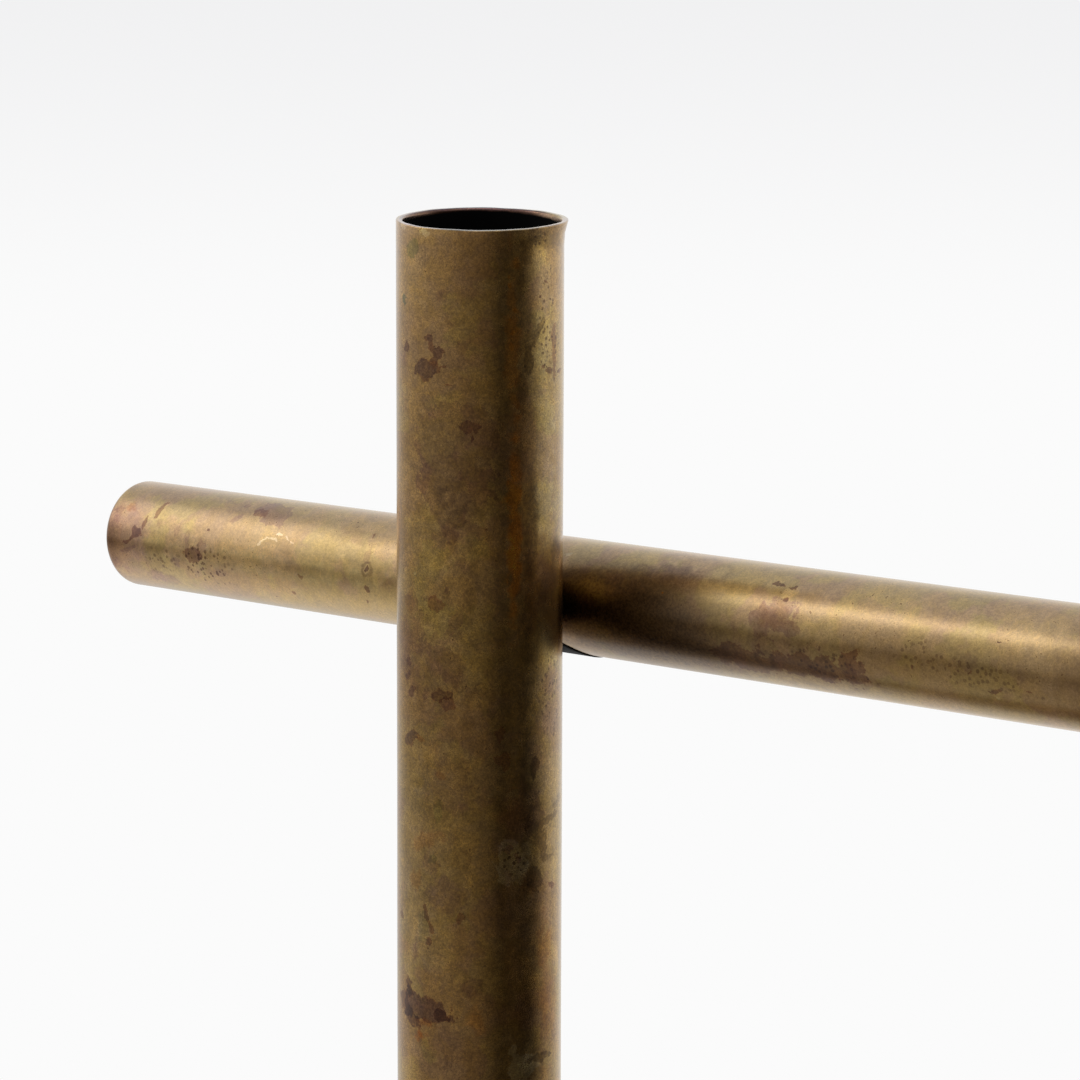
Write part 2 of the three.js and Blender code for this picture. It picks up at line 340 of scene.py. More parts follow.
def cup_corners(radius, low, high):
    """The candle's cup: a pressed disc with its skirt down."""
    return [
        (0, high - CUP_WALL, 0),
        (radius - CUP_WALL, high - CUP_WALL, CUP_INSIDE),
        (radius - CUP_WALL, low, CUP_SKIRT),
        (radius, low, CUP_SKIRT),
        (radius, high, CUP_SHOULDER),
        (0, high, 0),
    ]


def make_plug():
    """The black plug in the access hole, with a lower face that follows the bar."""
    low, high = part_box("access_plug")
    radius = (high.x - low.x) / 2
    thickness = high.z - low.z
    face = BAR_HEIGHT - low.z
    plug = turned("underside_plug", divided(softened([
        (0, 0, 0),
        (radius, 0, ACCESS_PLUG_EDGE),
        (radius, thickness, 0),
        (0, thickness, 0),
    ]), PLUG_STEP), SMALL_STEPS)
    for vertex in plug.data.vertices:
        x, y, depth = vertex.co
        share = depth / thickness
        curved = BAR_HEIGHT - math.sqrt(face ** 2 - y ** 2)
        vertex.co = x, y + BAR_BACK, curved * (1 - share) + high.z * share
    return smoothed(plug)


class Tree:
    """Short calls that add nodes to a node tree. A value is a number, a tuple or a node's output."""

    def __init__(self, tree):
        self.tree = tree
        tree.nodes.clear()

    def put(self, socket, value):
        """Links an output to a socket, or sets the socket's own value."""
        if isinstance(value, bpy.types.NodeSocket):
            self.tree.links.new(value, socket)
        else:
            socket.default_value = value

    def node(self, kind, inputs, **settings):
        """A new node, with its inputs by name or number."""
        made = self.tree.nodes.new("ShaderNode" + kind)
        for name, value in settings.items():
            setattr(made, name, value)
        for socket, value in inputs.items():
            self.put(made.inputs[socket], value)
        return made

    def math(self, operation, first, second=0.0, third=0.0):
        return self.node("Math", {0: first, 1: second, 2: third}, operation=operation).outputs[0]

    def vector(self, operation, first, second=(0, 0, 0), third=(0, 0, 0), scale=1.0):
        made = self.node("VectorMath", {0: first, 1: second, 2: third, 3: scale}, operation=operation)
        return made.outputs[1 if operation in ("DOT_PRODUCT", "LENGTH") else 0]

    def mix(self, share, first, second, blend="MIX"):
        """A mix of two colours, which are the node's inputs 6 and 7."""
        made = self.node("Mix", {0: share, 6: first, 7: second}, data_type="RGBA", blend_type=blend)
        return made.outputs[2]

    def blend(self, share, first, second):
        """A mix of two numbers, which are the node's inputs 2 and 3."""
        return self.node("Mix", {0: share, 2: first, 3: second}, data_type="FLOAT").outputs[0]

    def step(self, value, low, high, at_low=0.0, at_high=1.0):
        """A soft step from at_low to at_high as the value goes from low to high."""
        inputs = {"Value": value, "From Min": low, "From Max": high, "To Min": at_low, "To Max": at_high}
        return self.node("MapRange", inputs, interpolation_type="SMOOTHSTEP").outputs[0]

    def noise(self, place, size, detail=2.0, rough=0.5, bend=0.0, output=0):
        """Noise whose features are about this many millimetres, where the place is in millimetres too."""
        inputs = {
            "Vector": place,
            "Scale": 1 / size,
            "Detail": detail,
            "Roughness": rough,
            "Distortion": bend,
        }
        return self.node("TexNoise", inputs, normalize=True).outputs[output]

    def surface(self, inputs):
        """Ends a material's tree with a principled surface."""
        shader = self.node("BsdfPrincipled", inputs)
        self.node("OutputMaterial", {"Surface": shader.outputs[0]})

    def bump(self, height, depth, strength):
        """A normal that follows a height. The depth is in millimetres."""
        inputs = {"Height": height, "Distance": depth * MM, "Strength": strength}
        return self.node("Bump", inputs).outputs[0]

    def coordinates(self, kind):
        return self.node("TexCoord", {}).outputs[kind]

    def split(self, vector):
        return self.node("SeparateXYZ", {0: vector}).outputs

    def join(self, x, y, z=0.0):
        return self.node("CombineXYZ", {0: x, 1: y, 2: z}).outputs[0]


def colour(red, green, blue):
    """A colour as seen on a screen, from 0 to 255, made linear by the screen's own curve."""
    def linear(value):
        share = value / 255
        return share / 12.92 if share <= 0.04045 else ((share + 0.055) / 1.055) ** 2.4
    return linear(red), linear(green), linear(blue), 1.0


# Brass: clean, and under an olive and a brown patina. The bar is a little paler than the post.
POST_BRASS = colour(203, 168, 104), colour(190, 160, 96), colour(184, 148, 98)
BAR_BRASS = colour(205, 172, 114), colour(192, 163, 105), colour(190, 156, 111)
BASE_BRASS = colour(150, 124, 80), colour(128, 104, 62), colour(130, 102, 70)

# Freckles and tints: the red, green and blue of the brass under them are multiplied by these
DARK_FRECKLE = 0.84, 0.83, 0.86, 1
LIGHT_FRECKLE = 1.15, 1.15, 1.10, 1
GOLDEN_TINT = 1.03, 1.0, 0.90, 1
MAUVE_TINT = 0.97, 0.97, 1.10, 1

# The same for the listed marks
TONES = {
    "umber": (0.74, 0.67, 0.80, 1),
    "mauve": (0.80, 0.72, 0.95, 1),
    "brown": (0.36, 0.31, 0.42, 1),
    "dark": (0.27, 0.22, 0.28, 1),
    "olive": (1.06, 1.13, 1.0, 1),
    "moss": (0.66, 0.78, 0.66, 1),
    "green": (0.42, 0.56, 0.62, 1),
    # A lemon tint; on the bright band of the post's right flank and on the bar's left arm it is a painted
    # highlight
    "lemon": (1.14, 1.24, 1.28, 1),
    # Brighter golden patina; a few marks are painted light instead
    "gold": (1.28, 1.28, 1.26, 1),
    "haze": (1.6, 1.9, 2.8, 1),
    "rust": (0.98, 0.74, 0.55, 1),
    # Orange spots; down the post's dark band it is a painted orange reflection
    "orange": (1.8, 1.05, 0.1, 1),
    "pale": (1.5, 1.7, 2.2, 1),
    # Painted shade: darkens the bar near the post, along its lower right side and at its right end
    "dull": (0.66, 0.64, 0.58, 1),
    # Darker patina at the bar's ends and in its stains; near the post and along the bar's lower side it is
    # painted shade
    "shade": (0.55, 0.50, 0.50, 1),
    # Painted golden reflection on the bar beside the post
    "glow": (2.2, 2.4, 1.4, 1),
    # A paler, bluer tint; on the post's right flank it is a painted sheen
    "mist": (1.0, 1.05, 1.4, 1),
    "straw": (0.94, 0.92, 0.74, 1),
    "tarnish": (0.36, 0.30, 0.22, 1),
    # Painted shade and painted dark reflections beside the joint and down the post's dark band
    "grime": (0.11, 0.08, 0.035, 1),
}
SPECK = 0.34, 0.27, 0.26, 1
RED_RIM = 0.92, 0.70, 0.60, 1
DRIED_LINE = 1.3, 1.26, 1.15, 1

# Noise in the brass: offset that sets it apart, size of its features in mm, detail, roughness, bend
BRASS_NOISE = {
    "clouds": ((0, 0, 0), 11, 3, 0.5, 0),
    "zones": ((31, 7, 5), 13, 6, 0.6, 0),
    "mottles": ((0, 0, 0), 2.2, 5, 0.65, 0),
    "blotches": ((13, 3, 29), 3.5, 5, 0.6, 0.4),
    "freckles": ((3, 17, 9), 0.5, 3, 0.6, 0),
    "grain": ((0, 0, 0), 0.2, 2, 0.6, 0),
    "outlines": ((7, 23, 41), 2.6, 3, 0.55, 0.5),
}

# The values of that noise between which each feature of the brass comes in. Its middle value is 0.5.
NOISE_MIDDLE = 0.5
ZONE_RANGE = 0.47, 0.53
CLEAN_RANGE = 0.35, 0.7
FRECKLE_RANGE = 0.36, 0.64
TINT_RANGE = 0.38, 0.62
LINE_RANGE = 0.03, 0.008
LINE_CLOUDS = 0.45, 0.6
MOTTLE_RANGE = 0.25, 0.75
GRAIN_RANGE = 0.25, 0.75
DOT_RANGE = 0.62, 0.7
DOT_CLOUDS = 0.42, 0.6
ROUGH_RANGE = 0.3, 0.7
PATCHY_RANGE = 0.3, 0.65

# How strong those features are
CLEAN_SHARE = 0.6
LINE_SHARE = 0.6
MOTTLE_LIGHT = 0.88, 1.12
GRAIN_SPREAD = 0.26
DOT_SHARE = 0.9
PATCHY_SHARE = 0.9
STAIN_ROUGHNESS = 0.4
RED_RIM_SHARE = 3.0

# How far the marks' places wander and how ragged their outlines are, in millimetres
WANDER_SIZE = 1.6
WANDER = 2.0
RAGGED_WIDTH = 4.5
RAGGED_DETAIL = 1.0

# Clear lacquer left on the brass, its fine relief in millimetres, and the grain's share of that
LACQUER_WEIGHT = 0.65
LACQUER_ROUGHNESS = 0.25
BRASS_RELIEF = 0.012
GRAIN_RELIEF = 0.5

# The lip of the post and its inner edge: millimetres from the edges, shares of the way to the sides, and
# tints with painted light, darker on the near and far sides seen from the camera and lighter to the left
# and right
LIP_DEPTH = 0.15, 0.07
LIP_SIDES = 0.0, 0.35
LIP_FRONT_GREY_PAINTED_SHADE = 0.30, 0.44, 0.80, 1
LIP_SIDE_GREY_PAINTED_LIGHT = 0.90, 1.02, 1.55, 1
INNER_LIP_REACH = 0.15, -0.05
INNER_LIP_SIDES = 0.2, 0.9
INNER_LIP_FRONT_PURPLE_PAINTED_SHADE = 0.26, 0.18, 0.34, 1
INNER_LIP_SIDE_PURPLE_PAINTED_LIGHT = 0.55, 0.50, 0.74, 1

# Soot in the bore: where it starts inside and below the lip, in millimetres, and how uneven that line is
SOOT_INSIDE = 0.15
SOOT_DEPTH = 0.4, 0.85
# To the left and right, seen from the camera, the soot starts lower, leaving a painted lit band of inner
# wall
SOOT_SIDE_RISE = -0.55
SOOT_UNEVENNESS = 0.5
SOOT_COLOURS = colour(4, 3, 3), colour(12, 10, 8)

# Soft-edged tones, and where they reach their full strength, from 0 in a mark's middle to 1 at its edge.
# They begin a little outside it.
SOFT_TONES = {
    "grime": 0.45, "shade": 0.3, "orange": 0.3, "dull": 0.4, "mauve": 0.6, "lemon": 0.5, "rust": 0.5,
    "specks": 0.5, "glow": 0.3, "mist": 0.4, "straw": 0.4,
}
SOFT_REACH = 1.2

# Tones without ragged outlines, and tones whose marks have a reddish rim and a finish of their own
SMOOTH_TONES = "grime", "dull"
STAIN_TONES = "brown", "dark"

# Softness of the other marks' edges, and the size below which marks get no more ragged, in millimetres
EDGE_SOFTNESS = 0.16
LEAST_RAGGED = 1.8

# Specks: cells in a millimetre, the values that pick a speck's size, its sizes and its soft edge in cells
SPECK_CELLS = 1.3
SPECK_PICK = 0.05, 0.85
SPECK_SIZES = 0.1, 0.42
SPECK_EDGE = 0.05, -0.03

# Width of a dried drop's ring as a share of its radius: where it begins and where it is full
RING_WIDTH = 0.5, 0.1

# Marks on the post by tone: place round from the front and height, half width and half height, all in
# millimetres, strength, and for the turned ones the turn in degrees. Specks are scattered dark dots.
POST_MARKS = {
    # Painted dark reflection down the post's dark band, and painted shade on its flank and back beside the
    # bar
    "grime": [
        (8.6, 204, 1.7, 10, 0.7), (7.9, 165, 1.3, 12, 0.3), (11.2, 201, 3.4, 3.2, 0.4),
        (14.6, 199.8, 2.4, 3, 0.8), (30.8, 192, 10, 11, 0.55),
    ],
    # The first three are painted light, on the post's flank by the bar and in its dark front band; the
    # rest are brighter patina
    "gold": [
        (12.2, 187.5, 4, 5, 1), (-3.4, 199.5, 2.2, 6.5, 1), (2.6, 200.5, 2.8, 8.5, 1),
        (-8.7, 208.4, 3.4, 1.5, 0.8, -35), (-3.9, 208.8, 1.2, 1.2, 0.8), (1.2, 208.5, 1.6, 1.6, 1),
        (-10.3, 234.7, 2, 1.7, 0.3), (10.3, 245.4, 1.3, 1.1, 0.6), (-7.2, 198.1, 3.1, 4.5, 0.35),
        (-12.7, 208.2, 1.8, 5.1, 0.4), (-7.8, 170.6, 2.2, 1.2, 0.3, 20), (-10.9, 157.8, 2.4, 2.2, 0.35),
        (-9.8, 143.2, 2.9, 4.2, 0.4), (-11.8, 137, 2.6, 3.2, 0.4), (-1.2, 135.5, 0.75, 0.62, 0.3),
        (-11.5, 122.8, 2.1, 2.2, 0.3), (-6, 122.3, 1.2, 1.9, 0.35), (13.7, 156.4, 1.6, 1.9, 0.6),
        (13.4, 150.5, 2.2, 2.5, 0.6), (12.3, 144.9, 2.2, 1.1, 0.6), (15.3, 137.3, 1.3, 2.1, 0.8),
        (14.3, 128.1, 0.8, 0.48, 0.8), (16.4, 129.9, 0.64, 0.8, 0.6),
    ],
    # The first three are a painted highlight on the post's right flank; the last is a lemon streak
    "lemon": [
        (12.4, 187, 4, 5.5, 1), (11.2, 236, 2.1, 12, 0.9), (11.6, 214, 2.6, 13, 1),
        (2, 164.3, 0.24, 1.2, 0.9, -35),
    ],
    # The second, down the post's right flank, is a painted sheen on its bright band; the first is a paler,
    # bluer patch on its left
    "mist": [(-10.5, 150, 4.5, 18, 1), (12.6, 185, 3.2, 62, 0.7)],
    "pale": [
        (-14.2, 249.6, 1.6, 0.7, 0.8), (-8.8, 248.6, 1, 0.38, 0.8), (-10.9, 197.1, 0.38, 0.24, 0.7),
    ],
    "moss": [
        (-11.5, 246.1, 1.2, 1.4, 0.9), (-6.2, 161.2, 0.85, 1.9, 0.6), (-7.2, 154, 0.72, 0.77, 0.6),
        (-9.2, 143.3, 1, 2.2, 0.5),
    ],
    "green": [(-13.8, 238.2, 0.8, 0.75, 1)],
    "umber": [
        (-5.6, 239.4, 0.83, 0.75, 0.6), (-2.9, 232.3, 0.3, 0.29, 0.9), (-4, 217.9, 6.7, 6, 0.7),
        (-4, 211.6, 6.1, 3.9, 1), (-4.5, 207.7, 3.2, 3.4, 0.85), (-4.6, 204.4, 1.4, 1.9, 0.8, 10),
        (-1.2, 209, 2.1, 2.1, 0.6), (-4.8, 195.3, 0.42, 0.75, 0.9, -15), (-8.5, 193.8, 0.97, 0.45, 0.7),
        (-3.4, 190.8, 0.8, 1.2, 0.9, -35), (-4.3, 188.9, 0.64, 0.6, 0.8), (-13.3, 189.5, 4.2, 4.3, 0.6),
        (-8.7, 183, 6.4, 4, 0.65), (-6.7, 179.6, 1.6, 0.78, 0.6, 20), (-4, 165.6, 3.2, 4.7, 0.5),
        (-7.4, 153, 1.5, 1.4, 0.7), (-11, 139.2, 0.74, 1.1, 0.9), (-0.9, 134.4, 1.4, 1.4, 0.6),
        (-8.8, 131, 2.3, 1.1, 0.5), (-4.3, 124.4, 2.6, 3.1, 0.3), (12.4, 125.4, 2.5, 3.1, 0.6),
    ],
    "brown": [
        (-8.1, 232.9, 0.85, 0.68, 0.85), (-7.5, 231.9, 0.56, 0.75, 0.6, 30),
        (-6.3, 231.1, 0.85, 1.2, 0.85, -35), (-7.3, 229.7, 0.9, 0.75, 0.85),
        (-8.5, 228.3, 1.8, 1.4, 0.95), (-8.7, 226.9, 0.97, 0.75, 0.8), (-7, 228.4, 0.88, 0.9, 0.7),
        (-5.6, 228.6, 0.83, 0.24, 0.6), (-4.5, 226.1, 0.48, 0.18, 0.5, 10),
        (13.7, 231.5, 0.63, 3.8, 0.4, 3), (-1.3, 219.9, 1.2, 0.75, 0.75), (-1.1, 218, 0.32, 0.6, 0.7),
        (-6.7, 193, 1.7, 0.97, 0.6, -20), (-5, 177.9, 0.99, 1, 0.6), (-8.8, 130, 4.3, 1.9, 0.9),
        (-12.3, 130.6, 2, 2.1, 0.85), (-6, 130, 1.5, 1.6, 0.9),
    ],
    "rust": [
        (-7.3, 229.1, 0.9, 0.58, 0.7), (-12.1, 193, 1.4, 1.8, 0.4), (-9.8, 172, 0.99, 0.46, 0.8),
        (-5.8, 166.8, 1, 0.47, 0.6, -20), (-8.6, 156.4, 3, 1.6, 0.6, 20),
        (-11, 150, 1.2, 2.2, 0.6, -20), (-9, 127.9, 2.5, 0.7, 0.9), (-9.6, 125.9, 1.3, 1.1, 0.8),
        (5.2, 164.7, 1.2, 0.22, 0.5, 25), (5.6, 160.4, 3, 3.1, 0.5), (8.5, 149.7, 1.6, 2.2, 0.5),
        (6.7, 133.5, 3.9, 9.6, 0.4), (11.8, 138.6, 2, 5.3, 0.7), (13.2, 130.7, 3.1, 5.6, 0.7),
        (12.6, 133.2, 2.2, 8, 0.5),
    ],
    "dark": [
        (-13.2, 231.2, 0.79, 0.75, 0.7), (10.3, 239.4, 0.32, 0.3, 0.7), (11.4, 241.1, 0.48, 0.3, 0.6),
        (10.8, 228.6, 0.34, 0.3, 0.6), (12.3, 227.8, 0.79, 0.45, 0.7), (15.6, 227.6, 0.64, 0.3, 0.6),
        (1, 204.5, 0.26, 0.24, 0.8), (-12.6, 183.6, 0.65, 0.93, 0.7), (-12.7, 181.4, 0.72, 0.93, 0.8),
        (-11.9, 179.1, 0.81, 0.75, 0.8), (-5.8, 179.2, 1.4, 0.93, 0.8, 10),
        (-11.9, 172.3, 1.6, 0.93, 0.85, 30), (-12.2, 171.2, 0.83, 0.62, 0.7),
        (-2.7, 145, 0.7, 0.7, 0.6), (-8.6, 145.4, 0.48, 1.2, 0.7, 10), (-7.8, 143, 0.49, 1.2, 0.7, 25),
        (-7.8, 140.8, 0.57, 0.72, 0.7), (-15.3, 143.6, 0.64, 0.8, 0.6),
        (-12.6, 133.2, 0.88, 1.7, 0.8, 5), (-11.5, 128.2, 2.1, 1.1, 0.8, -20),
        (-5.8, 129.5, 1.2, 0.96, 0.6), (-14.3, 130.7, 1.3, 1.6, 0.6), (3.6, 173.6, 0.78, 1.1, 0.6),
        (4.1, 169.1, 1.2, 1.7, 0.6, 10), (4.6, 155.5, 0.5, 0.47, 0.8), (6.3, 154.1, 0.51, 0.62, 0.8),
        (13.7, 148.9, 0.96, 0.48, 0.6),
    ],
    "mauve": [(-13.9, 229.2, 0.96, 1.2, 0.7), (-5.1, 148.2, 3.3, 3.1, 0.8)],
    # The first and the ninth are a painted orange reflection down the post's dark band; the rest are
    # orange spots
    "orange": [
        (5.2, 232, 1.3, 14, 0.4), (4.4, 242.2, 0.47, 0.45, 0.7), (4.6, 240.8, 0.48, 0.58, 0.7),
        (5.6, 237.3, 0.66, 0.6, 0.7), (4.9, 236.1, 0.48, 0.45, 0.7), (5.1, 234, 0.64, 0.45, 0.7),
        (5.1, 231.9, 0.64, 0.75, 0.7), (5.7, 244.4, 0.96, 1.2, 0.4), (5.4, 206, 1.3, 18, 0.75),
        (-9.6, 125.9, 1.2, 0.96, 0.45), (-0.3, 128.5, 1.5, 3.1, 0.22),
    ],
    "tarnish": [
        (7.4, 246.1, 1.4, 2.3, 0.55), (8.8, 248.1, 1.4, 1.3, 0.6), (6.4, 240.9, 0.83, 3.2, 0.4),
        (8.2, 233.9, 1.1, 2.7, 0.4, -8), (9.5, 233.2, 0.6, 2.3, 0.8, -26),
        (10.8, 235.2, 0.45, 0.75, 0.6, -20), (8, 229.4, 0.9, 2.1, 0.65), (6.8, 225, 1, 3, 0.4),
        (9.2, 167.8, 0.8, 1.4, 0.8, -10), (9.6, 159.6, 1.9, 3.4, 0.55), (9.9, 150.2, 1.5, 2.2, 0.7, 10),
        (15.1, 161.2, 2.6, 0.8, 0.5, 20), (12.5, 159.4, 3.9, 0.62, 0.7, 10),
        (11.2, 155.9, 0.96, 2.8, 0.6), (12.5, 153.3, 1.7, 0.64, 0.5), (11.4, 122.3, 2.2, 0.64, 0.8),
    ],
    # Darker just below the rim on its right side
    "shade": [(11.2, 249, 3.2, 0.9, 0.6), (14.2, 247.2, 1.9, 2.1, 0.4)],
    "specks": [
        (11.7, 235.4, 2, 9, 1), (13.1, 230.8, 2, 6, 0.8), (9.6, 247.5, 1.6, 2.1, 0.8),
        (-2.8, 193.9, 4.6, 9.3, 0.25), (5.6, 153.6, 2.8, 3.4, 1), (12.9, 177.6, 2.9, 7.5, 0.8),
    ],
    "olive": [(-6.6, 195.1, 4.5, 7.1, 0.8), (0, 190.9, 2.6, 12.8, 0.7)],
    "haze": [
        (5.3, 153.6, 2.6, 3.3, 0.8), (7.3, 155.2, 1.6, 1.4, 0.6), (6.7, 121.3, 2.3, 2.2, 1),
        (5.5, 124, 0.66, 0.93, 1), (9.2, 121.8, 1.2, 0.96, 0.6),
    ],
}

# Marks on the bar by tone: place along it and round it, upwards from its front, and the rest as above
BAR_MARKS = {
    # Painted shade on the bar near the post, along its lower right side and at its right end
    "dull": [
        (76, -2.2, 42, 7, 0.9), (26, 5.8, 9, 2.4, 0.75, -3), (-38, 6.2, 11, 1.8, 0.8),
        (97.5, -1, 7, 9, 0.8),
    ],
    # Painted highlight along the bar's left arm
    "lemon": [(-64, -0.6, 34, 2.2, 0.8)],
    # The first four are painted shade and painted dark reflection of the post, near it and along the bar's
    # lower side; the rest are darker patina
    "shade": [
        (24, 7.4, 8, 2.2, 0.8), (20, 6.4, 8, 2.2, 0.5, -3), (41, -5.6, 27, 3.5, 0.85, -3),
        (49, -3.4, 14, 4, 0.85, -7), (-97.8, -0.4, 3.8, 7, 1), (-50.9, -0.2, 6.4, 1.5, 0.35, -8),
        (46.5, 1.6, 4, 2.6, 0.5), (99, -0.5, 5, 8, 0.4),
    ],
    # Painted shade and painted dark reflection of the post, on the bar beside the joint
    "grime": [(15, -0.7, 29, 10.2, 0.97, -7), (14, -3.2, 7, 2.6, 0.8)],
    # The first two are a painted highlight, along the bar's left arm and on its upper side right of the
    # post; the rest are brighter patina and chips
    "gold": [
        (-62, 0.6, 31, 1.9, 0.7), (36, 6.1, 9, 0.9, 0.4, -2), (-90.4, -1.8, 2, 1.5, 0.4),
        (4.7, 7.5, 1.1, 1.5, 0.5), (6.3, -5, 1.3, 1.5, 0.7), (47.5, 7, 1.4, 1, 0.8, 20),
        (44.4, -4.2, 0.98, 0.46, 0.6), (42.9, -2.9, 0.78, 0.34, 0.4), (57.8, -4.6, 0.7, 1.3, 0.7, 10),
        (62.5, -5.3, 1.2, 0.86, 0.6),
    ],
    "mauve": [
        (-93.9, 0.9, 6.4, 7.7, 0.9), (-96.9, -0.7, 2.2, 5, 1), (-94.4, -4, 2.1, 1.9, 0.9),
        (-85.8, -6.2, 3.8, 1.4, 0.9, -8),
    ],
    "rust": [(-96, 0, 3.5, 7, 0.4), (-93, 6.1, 1.4, 1.3, 0.8), (46.6, 2.8, 3.6, 2.3, 0.4)],
    "brown": [
        (-90.1, 1.8, 0.98, 0.91, 0.8), (-91.9, 0.4, 2, 0.44, 0.7, 25),
        (-88.5, 3.8, 0.52, 1.4, 0.6, -20), (-85.9, 6.3, 0.59, 1.8, 0.6, -22),
        (-76.5, -0.4, 1.9, 1.2, 0.75), (-63.4, 8.5, 1.3, 0.9, 0.35), (41.2, -4.3, 6.6, 2.1, 0.4, -6),
        (49.3, -4.1, 4.6, 2, 0.5, -8), (54.9, -4.3, 4.2, 2.1, 0.45, -10), (60.4, -3.6, 2.7, 2.9, 0.55),
        (85.4, -3.5, 1.4, 0.28, 0.5), (91.4, -2.7, 0.51, 0.22, 0.5),
    ],
    "umber": [
        (-92.3, -1.3, 2.3, 0.54, 0.8, 20), (-86, -2.1, 2.3, 2.8, 0.4), (-85.2, 3.7, 0.7, 0.68, 0.6),
        (-80.4, 3, 0.7, 0.85, 0.6), (-95.4, 4.3, 1.2, 1.4, 0.7), (-74.2, 1.1, 1.2, 1.3, 0.8),
        (-77.6, 1.4, 0.61, 1.8, 0.7), (-80.4, -2, 1, 0.74, 0.7), (-70.1, -3, 2, 0.78, 0.5),
        (-67.8, 7, 1.5, 0.59, 0.8, 35), (-67.7, 9.8, 1, 0.78, 0.7), (-60.8, 9.4, 4.2, 2, 1, -8),
        (-60.1, 7.3, 2.8, 1.2, 0.9, -8), (-36.3, 3, 0.64, 1.6, 0.6), (47.2, 3.8, 3.2, 2.1, 1),
        (44.7, 1.9, 3, 2.1, 0.9), (48.7, 1.2, 2.2, 1.3, 0.9), (81.4, 0.2, 2.4, 1.4, 0.5),
    ],
    "dark": [
        (-73.2, 3.9, 0.34, 0.26, 0.8), (-51.1, -1.7, 0.46, 0.36, 0.5), (-53.8, -4.9, 0.5, 0.45, 0.5),
        (-36.1, 1.3, 0.47, 0.42, 0.9), (-36.5, 6.8, 0.33, 0.34, 0.6), (-36.1, -2.2, 0.55, 0.54, 0.7),
        (-36.8, -4.4, 0.38, 0.34, 0.6), (45.1, 8.2, 1.2, 0.43, 0.8, -15), (47.6, 7.8, 0.6, 0.44, 0.8),
        (47.5, 5.9, 0.34, 0.5, 0.6), (55.6, -5.4, 3, 1.2, 0.2, -10), (60.5, -4.2, 1.5, 1.7, 0.25),
        (86, 4, 0.38, 0.26, 0.9), (71.6, -1.5, 0.28, 0.25, 0.6), (81.7, -1, 0.27, 0.24, 0.5),
    ],
    "specks": [
        (-73.4, -2.1, 7.8, 4.1, 1, -8), (-84.4, -2.4, 5.1, 3, 0.7), (56.8, -3, 9.2, 3.4, 0.8, -8),
        (80, -0.9, 15.8, 2.9, 0.6, -8),
    ],
    "pale": [
        (-60.6, 3.1, 0.68, 0.2, 0.9, 35), (-59.6, 3.9, 0.79, 0.17, 0.9, 20),
        (-57.9, 3.9, 0.77, 0.23, 0.9, -25), (-56.7, 4.8, 0.88, 0.24, 1),
        (-54.7, 4.5, 0.88, 0.17, 0.9, -30), (-53.3, 3.9, 0.53, 0.17, 0.8, -30),
        (3.5, 8.6, 0.74, 0.29, 0.6, 20), (90.4, 3.3, 0.8, 0.17, 0.5), (85.9, -4.3, 0.36, 0.26, 0.6),
    ],
    "orange": [(24.5, 4.1, 0.38, 0.25, 1)],
    # Painted golden reflection on the bar beside the post
    "glow": [(10.5, 2.8, 6.5, 2.4, 0.9, -4)],
    "straw": [(78, -4, 30, 4.4, 1, -3)],
}

# Thin rings of dried drops: place as above, radius in millimetres, strength
POST_RINGS = [
    (-5, 209.3, 1.3, 0.35), (-3.4, 206.1, 1.1, 0.35), (-4.5, 203.2, 0.93, 0.35), (-1.2, 207.8, 0.9, 0.3),
    (-0.9, 134.4, 1.4, 0.3), (-6, 122.6, 1.3, 0.3), (-2.9, 180.6, 0.78, 0.4), (0.3, 180.3, 0.75, 0.35),
    (-6.2, 161.2, 1.3, 0.3), (-2.3, 154.1, 1.1, 0.25), (-1.9, 238.8, 0.75, 0.2), (-4, 235.8, 0.9, 0.25),
]
BAR_RINGS = [
    (-36.1, 1.2, 1.0, 0.6), (28.8, 10, 2.5, 0.25), (33.2, 9.2, 1.8, 0.2), (23.6, 10.7, 2.2, 0.25),
    (44.5, -4, 1.5, 0.5),
]


def unrolled_post(tree, place):
    """Millimetres round the post from its front, and height in millimetres."""
    height = tree.split(place)[2]
    front_x, front_y = math.cos(FRONT_ANGLE), math.sin(FRONT_ANGLE)
    ahead = tree.vector("DOT_PRODUCT", place, (front_x, front_y, 0))
    aside = tree.vector("DOT_PRODUCT", place, (-front_y, front_x, 0))
    angle = tree.math("ARCTAN2", aside, ahead)
    return tree.join(tree.math("MULTIPLY", angle, POST_RADIUS / MM), height)


def unrolled_bar(tree, place):
    """Millimetres along the bar, and millimetres round it, upwards from its front."""
    x, y, z = tree.split(place)
    ahead = tree.math("SUBTRACT", BAR_BACK / MM, y)
    above = tree.math("SUBTRACT", z, BAR_HEIGHT / MM)
    angle = tree.math("ARCTAN2", above, ahead)
    return tree.join(x, tree.math("MULTIPLY", angle, BAR_RADIUS / MM))


def distance_to(tree, spot, along, across, half_along, half_across, turn=0.0):
    """Distance from a mark's middle, where 1 is its edge."""
    if turn == 0:
        shares = (1 / half_along, 1 / half_across, 0)
        offset = (-along / half_along, -across / half_across, 0)
        return tree.vector("LENGTH", tree.vector("MULTIPLY_ADD", spot, shares, offset))
    inputs = {
        "Vector": spot,
        "Location": (along, across, 0),
        "Rotation": (0, 0, math.radians(turn)),
        "Scale": (half_along, half_across, 1),
    }
    return tree.vector("LENGTH", tree.node("Mapping", inputs, vector_type="TEXTURE").outputs[0])


